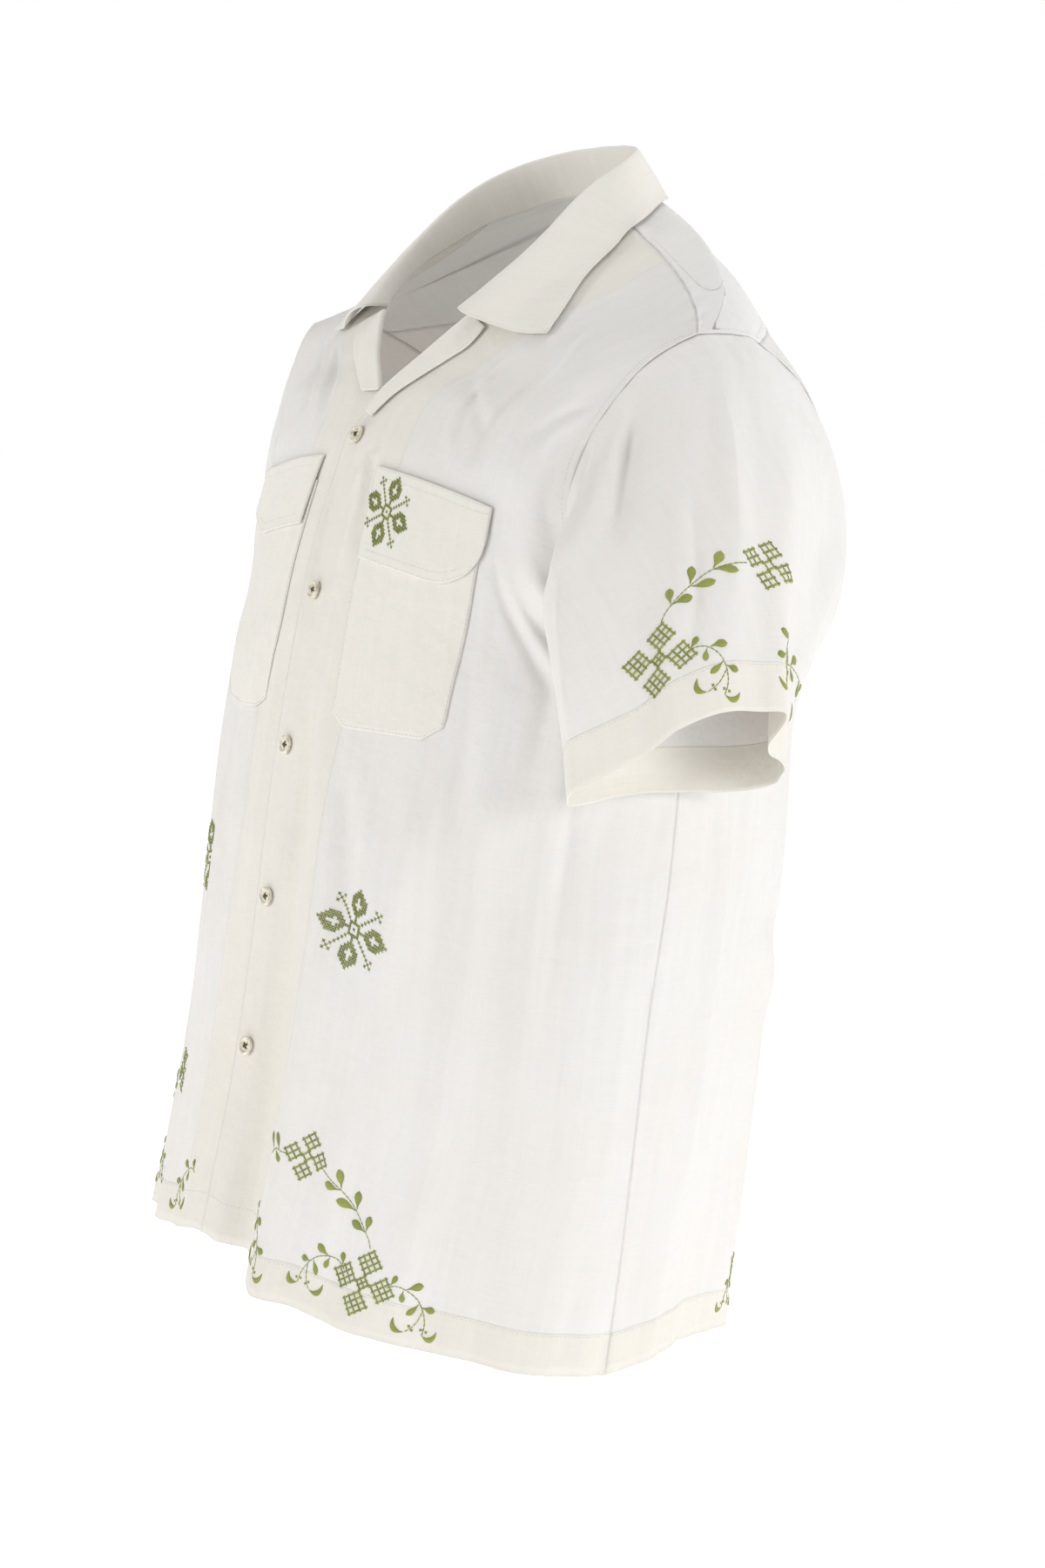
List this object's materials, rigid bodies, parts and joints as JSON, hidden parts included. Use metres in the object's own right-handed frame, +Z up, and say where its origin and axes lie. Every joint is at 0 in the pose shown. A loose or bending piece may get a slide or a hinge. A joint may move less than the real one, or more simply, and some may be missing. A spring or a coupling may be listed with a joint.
{
  "type": "short-sleeved shirt",
  "caption": "Short-sleeved open-collar cotton shirt with chest flap pockets, embroidered in olive, in the hollow form it has when worn.",
  "frame": {"origin": "midway between the two points where the shoulder seams meet the neck", "axes": "+Z up, -Y the way the wearer faces, +X towards the wearer's left"},
  "size_m": [0.6988, 0.3708, 0.732],
  "materials": {
    "front_left": "off-white fine plain-weave cotton",
    "front_right": "off-white fine plain-weave cotton",
    "back": "off-white fine plain-weave cotton",
    "yoke": "off-white fine plain-weave cotton",
    "sleeve_left": "off-white fine plain-weave cotton",
    "sleeve_right": "off-white fine plain-weave cotton",
    "collar": "off-white fine plain-weave cotton",
    "lapel_left": "off-white fine plain-weave cotton",
    "lapel_right": "off-white fine plain-weave cotton",
    "pocket_left": "off-white fine plain-weave cotton",
    "pocket_right": "off-white fine plain-weave cotton",
    "flap_left": "off-white fine plain-weave cotton",
    "flap_right": "off-white fine plain-weave cotton",
    "button_1": "cream polished button",
    "button_2": "cream polished button",
    "button_3": "cream polished button",
    "button_4": "cream polished button",
    "button_5": "cream polished button"
  },
  "bodies": {
    "root": {"front_left": "front_left", "front_right": "front_right", "back": "back", "yoke": "yoke", "sleeve_left": "sleeve_left", "sleeve_right": "sleeve_right", "collar": "collar", "lapel_left": "lapel_left", "lapel_right": "lapel_right", "pocket_left": "pocket_left", "pocket_right": "pocket_right", "flap_left": "flap_left", "flap_right": "flap_right", "button_1": "button_1", "button_2": "button_2", "button_3": "button_3", "button_4": "button_4", "button_5": "button_5"}
  },
  "joints": []
}
